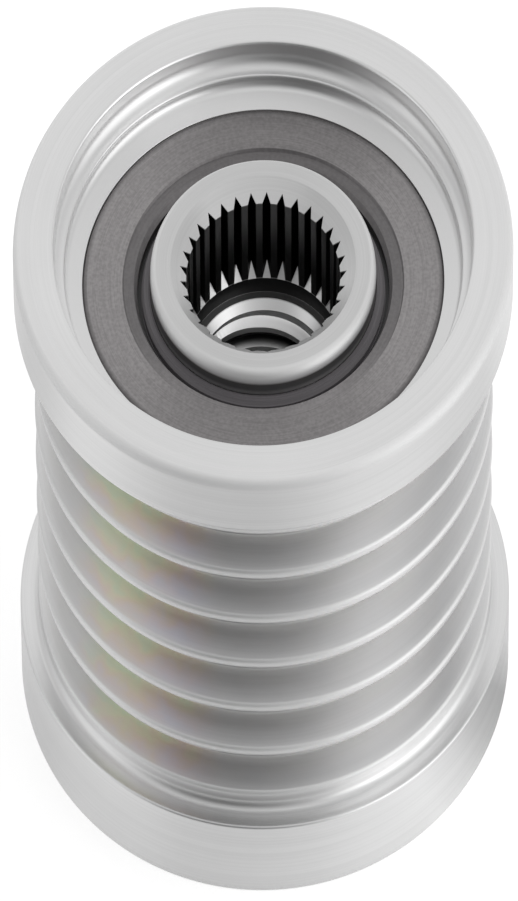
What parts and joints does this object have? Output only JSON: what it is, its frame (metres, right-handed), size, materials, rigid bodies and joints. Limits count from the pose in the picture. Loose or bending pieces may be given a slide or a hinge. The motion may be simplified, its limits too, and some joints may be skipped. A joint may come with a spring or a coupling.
{
  "type": "overrunning alternator pulley",
  "caption": "V-ribbed belt pulley with two flanges, a one-way roller clutch and needle bearings on a serrated, threaded hub.",
  "frame": {"origin": "centre of the rear face, on which the pulley stands", "axes": "+Z along the pulley's axis, from the rear face to the serrated socket at the front"},
  "size_m": [0.061, 0.061, 0.033],
  "materials": {
    "zinc_plated_steel": "satin zinc-plated turned steel",
    "ground_steel": "fine turned and ground steel",
    "hardened_steel": "ground bearing steel",
    "spring_steel": "cold-rolled spring strip",
    "dark_steel": "dark phosphated steel",
    "seal_rubber": "matte nitrile rubber",
    "cage_plastic": "moulded glass-filled polyamide",
    "washer_plastic": "moulded wear-resistant polyamide"
  },
  "bodies": {
    "hub_body": {"hub": "ground_steel", "ramp_ring": "hardened_steel", "clutch_cage": "cage_plastic", "clutch_springs": "spring_steel", "front_thrust_washer": "washer_plastic", "rear_thrust_washer": "washer_plastic"},
    "pulley_body": {"pulley": "zinc_plated_steel", "clutch_sleeve": "hardened_steel", "cover_ring": "dark_steel", "front_seal": "seal_rubber", "rear_seal_case": "dark_steel", "rear_seal": "seal_rubber"},
    "front_cage": {"front_bearing_cage": "cage_plastic"},
    "rear_cage": {"rear_bearing_cage": "cage_plastic"},
    "front_needle_01": {"front_needle_01": "hardened_steel"},
    "front_needle_02": {"front_needle_02": "hardened_steel"},
    "front_needle_03": {"front_needle_03": "hardened_steel"},
    "front_needle_04": {"front_needle_04": "hardened_steel"},
    "front_needle_05": {"front_needle_05": "hardened_steel"},
    "front_needle_06": {"front_needle_06": "hardened_steel"},
    "front_needle_07": {"front_needle_07": "hardened_steel"},
    "front_needle_08": {"front_needle_08": "hardened_steel"},
    "front_needle_09": {"front_needle_09": "hardened_steel"},
    "front_needle_10": {"front_needle_10": "hardened_steel"},
    "front_needle_11": {"front_needle_11": "hardened_steel"},
    "front_needle_12": {"front_needle_12": "hardened_steel"},
    "front_needle_13": {"front_needle_13": "hardened_steel"},
    "front_needle_14": {"front_needle_14": "hardened_steel"},
    "rear_needle_01": {"rear_needle_01": "hardened_steel"},
    "rear_needle_02": {"rear_needle_02": "hardened_steel"},
    "rear_needle_03": {"rear_needle_03": "hardened_steel"},
    "rear_needle_04": {"rear_needle_04": "hardened_steel"},
    "rear_needle_05": {"rear_needle_05": "hardened_steel"},
    "rear_needle_06": {"rear_needle_06": "hardened_steel"},
    "rear_needle_07": {"rear_needle_07": "hardened_steel"},
    "rear_needle_08": {"rear_needle_08": "hardened_steel"},
    "rear_needle_09": {"rear_needle_09": "hardened_steel"},
    "rear_needle_10": {"rear_needle_10": "hardened_steel"},
    "rear_needle_11": {"rear_needle_11": "hardened_steel"},
    "rear_needle_12": {"rear_needle_12": "hardened_steel"},
    "rear_needle_13": {"rear_needle_13": "hardened_steel"},
    "rear_needle_14": {"rear_needle_14": "hardened_steel"},
    "clutch_roller_01": {"clutch_roller_01": "hardened_steel"},
    "clutch_roller_02": {"clutch_roller_02": "hardened_steel"},
    "clutch_roller_03": {"clutch_roller_03": "hardened_steel"},
    "clutch_roller_04": {"clutch_roller_04": "hardened_steel"},
    "clutch_roller_05": {"clutch_roller_05": "hardened_steel"},
    "clutch_roller_06": {"clutch_roller_06": "hardened_steel"},
    "clutch_roller_07": {"clutch_roller_07": "hardened_steel"},
    "clutch_roller_08": {"clutch_roller_08": "hardened_steel"},
    "clutch_roller_09": {"clutch_roller_09": "hardened_steel"},
    "clutch_roller_10": {"clutch_roller_10": "hardened_steel"},
    "clutch_roller_11": {"clutch_roller_11": "hardened_steel"},
    "clutch_roller_12": {"clutch_roller_12": "hardened_steel"}
  },
  "joints": [
    {"name": "pulley_spin", "type": "hinge", "parent": "hub_body", "child": "pulley_body", "pos_m": [0, 0, 0.0165], "axis": [0, 0, 1], "continuous": true},
    {"name": "front_cage_spin", "type": "hinge", "parent": "hub_body", "child": "front_cage", "pos_m": [0, 0, 0.02445], "axis": [0, 0, 1], "continuous": true},
    {"name": "front_needle_01_spin", "type": "hinge", "parent": "front_cage", "child": "front_needle_01", "pos_m": [0.01773, 0, 0.02445], "axis": [0, 0, 1], "continuous": true},
    {"name": "front_needle_02_spin", "type": "hinge", "parent": "front_cage", "child": "front_needle_02", "pos_m": [0.01597, 0.00769, 0.02445], "axis": [0, 0, 1], "continuous": true},
    {"name": "front_needle_03_spin", "type": "hinge", "parent": "front_cage", "child": "front_needle_03", "pos_m": [0.01105, 0.01386, 0.02445], "axis": [0, 0, 1], "continuous": true},
    {"name": "front_needle_04_spin", "type": "hinge", "parent": "front_cage", "child": "front_needle_04", "pos_m": [0.00395, 0.01729, 0.02445], "axis": [0, 0, 1], "continuous": true},
    {"name": "front_needle_05_spin", "type": "hinge", "parent": "front_cage", "child": "front_needle_05", "pos_m": [-0.00395, 0.01729, 0.02445], "axis": [0, 0, 1], "continuous": true},
    {"name": "front_needle_06_spin", "type": "hinge", "parent": "front_cage", "child": "front_needle_06", "pos_m": [-0.01105, 0.01386, 0.02445], "axis": [0, 0, 1], "continuous": true},
    {"name": "front_needle_07_spin", "type": "hinge", "parent": "front_cage", "child": "front_needle_07", "pos_m": [-0.01597, 0.00769, 0.02445], "axis": [0, 0, 1], "continuous": true},
    {"name": "front_needle_08_spin", "type": "hinge", "parent": "front_cage", "child": "front_needle_08", "pos_m": [-0.01773, 0, 0.02445], "axis": [0, 0, 1], "continuous": true},
    {"name": "front_needle_09_spin", "type": "hinge", "parent": "front_cage", "child": "front_needle_09", "pos_m": [-0.01597, -0.00769, 0.02445], "axis": [0, 0, 1], "continuous": true},
    {"name": "front_needle_10_spin", "type": "hinge", "parent": "front_cage", "child": "front_needle_10", "pos_m": [-0.01105, -0.01386, 0.02445], "axis": [0, 0, 1], "continuous": true},
    {"name": "front_needle_11_spin", "type": "hinge", "parent": "front_cage", "child": "front_needle_11", "pos_m": [-0.00395, -0.01729, 0.02445], "axis": [0, 0, 1], "continuous": true},
    {"name": "front_needle_12_spin", "type": "hinge", "parent": "front_cage", "child": "front_needle_12", "pos_m": [0.00395, -0.01729, 0.02445], "axis": [0, 0, 1], "continuous": true},
    {"name": "front_needle_13_spin", "type": "hinge", "parent": "front_cage", "child": "front_needle_13", "pos_m": [0.01105, -0.01386, 0.02445], "axis": [0, 0, 1], "continuous": true},
    {"name": "front_needle_14_spin", "type": "hinge", "parent": "front_cage", "child": "front_needle_14", "pos_m": [0.01597, -0.00769, 0.02445], "axis": [0, 0, 1], "continuous": true},
    {"name": "rear_cage_spin", "type": "hinge", "parent": "hub_body", "child": "rear_cage", "pos_m": [0, 0, 0.00785], "axis": [0, 0, 1], "continuous": true},
    {"name": "rear_needle_01_spin", "type": "hinge", "parent": "rear_cage", "child": "rear_needle_01", "pos_m": [0.01773, 0, 0.00785], "axis": [0, 0, 1], "continuous": true},
    {"name": "rear_needle_02_spin", "type": "hinge", "parent": "rear_cage", "child": "rear_needle_02", "pos_m": [0.01597, 0.00769, 0.00785], "axis": [0, 0, 1], "continuous": true},
    {"name": "rear_needle_03_spin", "type": "hinge", "parent": "rear_cage", "child": "rear_needle_03", "pos_m": [0.01105, 0.01386, 0.00785], "axis": [0, 0, 1], "continuous": true},
    {"name": "rear_needle_04_spin", "type": "hinge", "parent": "rear_cage", "child": "rear_needle_04", "pos_m": [0.00395, 0.01729, 0.00785], "axis": [0, 0, 1], "continuous": true},
    {"name": "rear_needle_05_spin", "type": "hinge", "parent": "rear_cage", "child": "rear_needle_05", "pos_m": [-0.00395, 0.01729, 0.00785], "axis": [0, 0, 1], "continuous": true},
    {"name": "rear_needle_06_spin", "type": "hinge", "parent": "rear_cage", "child": "rear_needle_06", "pos_m": [-0.01105, 0.01386, 0.00785], "axis": [0, 0, 1], "continuous": true},
    {"name": "rear_needle_07_spin", "type": "hinge", "parent": "rear_cage", "child": "rear_needle_07", "pos_m": [-0.01597, 0.00769, 0.00785], "axis": [0, 0, 1], "continuous": true},
    {"name": "rear_needle_08_spin", "type": "hinge", "parent": "rear_cage", "child": "rear_needle_08", "pos_m": [-0.01773, 0, 0.00785], "axis": [0, 0, 1], "continuous": true},
    {"name": "rear_needle_09_spin", "type": "hinge", "parent": "rear_cage", "child": "rear_needle_09", "pos_m": [-0.01597, -0.00769, 0.00785], "axis": [0, 0, 1], "continuous": true},
    {"name": "rear_needle_10_spin", "type": "hinge", "parent": "rear_cage", "child": "rear_needle_10", "pos_m": [-0.01105, -0.01386, 0.00785], "axis": [0, 0, 1], "continuous": true},
    {"name": "rear_needle_11_spin", "type": "hinge", "parent": "rear_cage", "child": "rear_needle_11", "pos_m": [-0.00395, -0.01729, 0.00785], "axis": [0, 0, 1], "continuous": true},
    {"name": "rear_needle_12_spin", "type": "hinge", "parent": "rear_cage", "child": "rear_needle_12", "pos_m": [0.00395, -0.01729, 0.00785], "axis": [0, 0, 1], "continuous": true},
    {"name": "rear_needle_13_spin", "type": "hinge", "parent": "rear_cage", "child": "rear_needle_13", "pos_m": [0.01105, -0.01386, 0.00785], "axis": [0, 0, 1], "continuous": true},
    {"name": "rear_needle_14_spin", "type": "hinge", "parent": "rear_cage", "child": "rear_needle_14", "pos_m": [0.01597, -0.00769, 0.00785], "axis": [0, 0, 1], "continuous": true},
    {"name": "clutch_roller_01_release", "type": "slide", "parent": "hub_body", "child": "clutch_roller_01", "axis": [-0.1392, 0.9903, 0], "range_m": [0, 0.0005], "stiffness_N_per_m": 200},
    {"name": "clutch_roller_02_release", "type": "slide", "parent": "hub_body", "child": "clutch_roller_02", "axis": [-0.6157, 0.788, 0], "range_m": [0, 0.0005], "stiffness_N_per_m": 200},
    {"name": "clutch_roller_03_release", "type": "slide", "parent": "hub_body", "child": "clutch_roller_03", "axis": [-0.9272, 0.3746, 0], "range_m": [0, 0.0005], "stiffness_N_per_m": 200},
    {"name": "clutch_roller_04_release", "type": "slide", "parent": "hub_body", "child": "clutch_roller_04", "axis": [-0.9903, -0.1392, 0], "range_m": [0, 0.0005], "stiffness_N_per_m": 200},
    {"name": "clutch_roller_05_release", "type": "slide", "parent": "hub_body", "child": "clutch_roller_05", "axis": [-0.788, -0.6157, 0], "range_m": [0, 0.0005], "stiffness_N_per_m": 200},
    {"name": "clutch_roller_06_release", "type": "slide", "parent": "hub_body", "child": "clutch_roller_06", "axis": [-0.3746, -0.9272, 0], "range_m": [0, 0.0005], "stiffness_N_per_m": 200},
    {"name": "clutch_roller_07_release", "type": "slide", "parent": "hub_body", "child": "clutch_roller_07", "axis": [0.1392, -0.9903, 0], "range_m": [0, 0.0005], "stiffness_N_per_m": 200},
    {"name": "clutch_roller_08_release", "type": "slide", "parent": "hub_body", "child": "clutch_roller_08", "axis": [0.6157, -0.788, 0], "range_m": [0, 0.0005], "stiffness_N_per_m": 200},
    {"name": "clutch_roller_09_release", "type": "slide", "parent": "hub_body", "child": "clutch_roller_09", "axis": [0.9272, -0.3746, 0], "range_m": [0, 0.0005], "stiffness_N_per_m": 200},
    {"name": "clutch_roller_10_release", "type": "slide", "parent": "hub_body", "child": "clutch_roller_10", "axis": [0.9903, 0.1392, 0], "range_m": [0, 0.0005], "stiffness_N_per_m": 200},
    {"name": "clutch_roller_11_release", "type": "slide", "parent": "hub_body", "child": "clutch_roller_11", "axis": [0.788, 0.6157, 0], "range_m": [0, 0.0005], "stiffness_N_per_m": 200},
    {"name": "clutch_roller_12_release", "type": "slide", "parent": "hub_body", "child": "clutch_roller_12", "axis": [0.3746, 0.9272, 0], "range_m": [0, 0.0005], "stiffness_N_per_m": 200}
  ],
  "couplings": [
    {"joint": "front_cage_spin", "follows": "pulley_spin", "ratio": 0.53525},
    {"joint": "front_needle_01_spin", "follows": "pulley_spin", "ratio": 7.0567},
    {"joint": "front_needle_02_spin", "follows": "pulley_spin", "ratio": 7.0567},
    {"joint": "front_needle_03_spin", "follows": "pulley_spin", "ratio": 7.0567},
    {"joint": "front_needle_04_spin", "follows": "pulley_spin", "ratio": 7.0567},
    {"joint": "front_needle_05_spin", "follows": "pulley_spin", "ratio": 7.0567},
    {"joint": "front_needle_06_spin", "follows": "pulley_spin", "ratio": 7.0567},
    {"joint": "front_needle_07_spin", "follows": "pulley_spin", "ratio": 7.0567},
    {"joint": "front_needle_08_spin", "follows": "pulley_spin", "ratio": 7.0567},
    {"joint": "front_needle_09_spin", "follows": "pulley_spin", "ratio": 7.0567},
    {"joint": "front_needle_10_spin", "follows": "pulley_spin", "ratio": 7.0567},
    {"joint": "front_needle_11_spin", "follows": "pulley_spin", "ratio": 7.0567},
    {"joint": "front_needle_12_spin", "follows": "pulley_spin", "ratio": 7.0567},
    {"joint": "front_needle_13_spin", "follows": "pulley_spin", "ratio": 7.0567},
    {"joint": "front_needle_14_spin", "follows": "pulley_spin", "ratio": 7.0567},
    {"joint": "rear_cage_spin", "follows": "pulley_spin", "ratio": 0.53525},
    {"joint": "rear_needle_01_spin", "follows": "pulley_spin", "ratio": 7.0567},
    {"joint": "rear_needle_02_spin", "follows": "pulley_spin", "ratio": 7.0567},
    {"joint": "rear_needle_03_spin", "follows": "pulley_spin", "ratio": 7.0567},
    {"joint": "rear_needle_04_spin", "follows": "pulley_spin", "ratio": 7.0567},
    {"joint": "rear_needle_05_spin", "follows": "pulley_spin", "ratio": 7.0567},
    {"joint": "rear_needle_06_spin", "follows": "pulley_spin", "ratio": 7.0567},
    {"joint": "rear_needle_07_spin", "follows": "pulley_spin", "ratio": 7.0567},
    {"joint": "rear_needle_08_spin", "follows": "pulley_spin", "ratio": 7.0567},
    {"joint": "rear_needle_09_spin", "follows": "pulley_spin", "ratio": 7.0567},
    {"joint": "rear_needle_10_spin", "follows": "pulley_spin", "ratio": 7.0567},
    {"joint": "rear_needle_11_spin", "follows": "pulley_spin", "ratio": 7.0567},
    {"joint": "rear_needle_12_spin", "follows": "pulley_spin", "ratio": 7.0567},
    {"joint": "rear_needle_13_spin", "follows": "pulley_spin", "ratio": 7.0567},
    {"joint": "rear_needle_14_spin", "follows": "pulley_spin", "ratio": 7.0567},
    {"joint": "clutch_roller_02_release", "follows": "clutch_roller_01_release", "ratio": 1},
    {"joint": "clutch_roller_03_release", "follows": "clutch_roller_01_release", "ratio": 1},
    {"joint": "clutch_roller_04_release", "follows": "clutch_roller_01_release", "ratio": 1},
    {"joint": "clutch_roller_05_release", "follows": "clutch_roller_01_release", "ratio": 1},
    {"joint": "clutch_roller_06_release", "follows": "clutch_roller_01_release", "ratio": 1},
    {"joint": "clutch_roller_07_release", "follows": "clutch_roller_01_release", "ratio": 1},
    {"joint": "clutch_roller_08_release", "follows": "clutch_roller_01_release", "ratio": 1},
    {"joint": "clutch_roller_09_release", "follows": "clutch_roller_01_release", "ratio": 1},
    {"joint": "clutch_roller_10_release", "follows": "clutch_roller_01_release", "ratio": 1},
    {"joint": "clutch_roller_11_release", "follows": "clutch_roller_01_release", "ratio": 1},
    {"joint": "clutch_roller_12_release", "follows": "clutch_roller_01_release", "ratio": 1}
  ]
}
